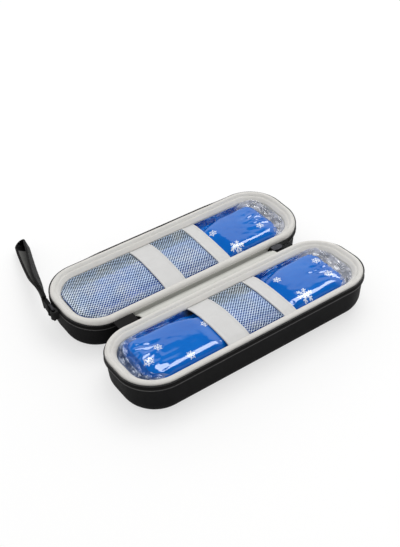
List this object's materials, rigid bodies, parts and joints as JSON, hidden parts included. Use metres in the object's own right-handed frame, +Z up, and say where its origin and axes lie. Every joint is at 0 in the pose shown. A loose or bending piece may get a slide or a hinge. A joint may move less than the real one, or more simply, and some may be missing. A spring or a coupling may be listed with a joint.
{
  "type": "insulin cooling case",
  "caption": "Zipped clamshell travel case folded out flat, with a gel cold pack under elastic bands and net in each padded half, a cloth hinge and a wrist strap.",
  "frame": {"origin": "centre of the base half's flat underside, on the surface that the case lies on", "axes": "+X along the case's length towards the zip slider's end, +Y from the base half across the hinge to the lid half, +Z up out of the open mouths"},
  "size_m": [0.2181, 0.2323, 0.0332],
  "materials": {
    "shell_skin": "matt moulded foam with a bonded fabric skin",
    "liner_foam": "soft insulating foam with a woven lining",
    "grey_cloth": "matt woven binding",
    "black_cloth": "matt woven tape",
    "zip_plastic": "satin plastic teeth",
    "gel_film": "glossy clear film over blue gel",
    "elastic": "matt knitted elastic",
    "net": "white open net",
    "dark_metal": "black lacquered metal",
    "strap_leather": "black satin leatherette"
  },
  "bodies": {
    "base": {"base_shell": "shell_skin", "base_liner": "liner_foam", "base_rim_binding": "grey_cloth", "base_zip_tape": "black_cloth", "base_zip_teeth": "zip_plastic", "base_hinge_leaf": "grey_cloth", "base_spine_leaf": "black_cloth", "base_gel_pack": "gel_film", "base_wide_band": "elastic", "base_net_panel": "net", "base_narrow_band": "elastic", "zip_tail_left": "black_cloth", "zip_tail_right": "black_cloth"},
    "lid": {"lid_shell": "shell_skin", "lid_liner": "liner_foam", "lid_rim_binding": "grey_cloth", "lid_zip_tape": "black_cloth", "lid_zip_teeth": "zip_plastic", "lid_hinge_leaf": "grey_cloth", "lid_spine_leaf": "black_cloth", "lid_gel_pack": "gel_film", "lid_wide_band": "elastic", "lid_net_panel": "net", "lid_narrow_band": "elastic", "lid_net_pocket": "net", "strap_tab": "black_cloth"},
    "slider": {"zip_slider": "dark_metal"},
    "pull": {"zip_pull": "dark_metal"},
    "strap": {"strap_ring": "dark_metal", "strap_keeper": "strap_leather", "strap_loop": "strap_leather"}
  },
  "joints": [
    {"name": "lid_fold", "type": "hinge", "parent": "base", "child": "lid", "pos_m": [0, 0.04005, 0.02955], "axis": [1, 0, 0], "range_deg": [0, 174]},
    {"name": "zip_slide", "type": "slide", "parent": "base", "child": "slider", "axis": [1, 0, 0], "range_m": [0, 0.0088]},
    {"name": "zip_pull_swing", "type": "hinge", "parent": "slider", "child": "pull", "pos_m": [0.0673, 0.04005, 0.0239], "axis": [0, 1, 0], "range_deg": [-80, 80]},
    {"name": "strap_swing", "type": "hinge", "parent": "lid", "child": "strap", "pos_m": [-0.1095, 0.0801, 0.0249], "axis": [0, 0, 1], "range_deg": [0, 180]}
  ]
}
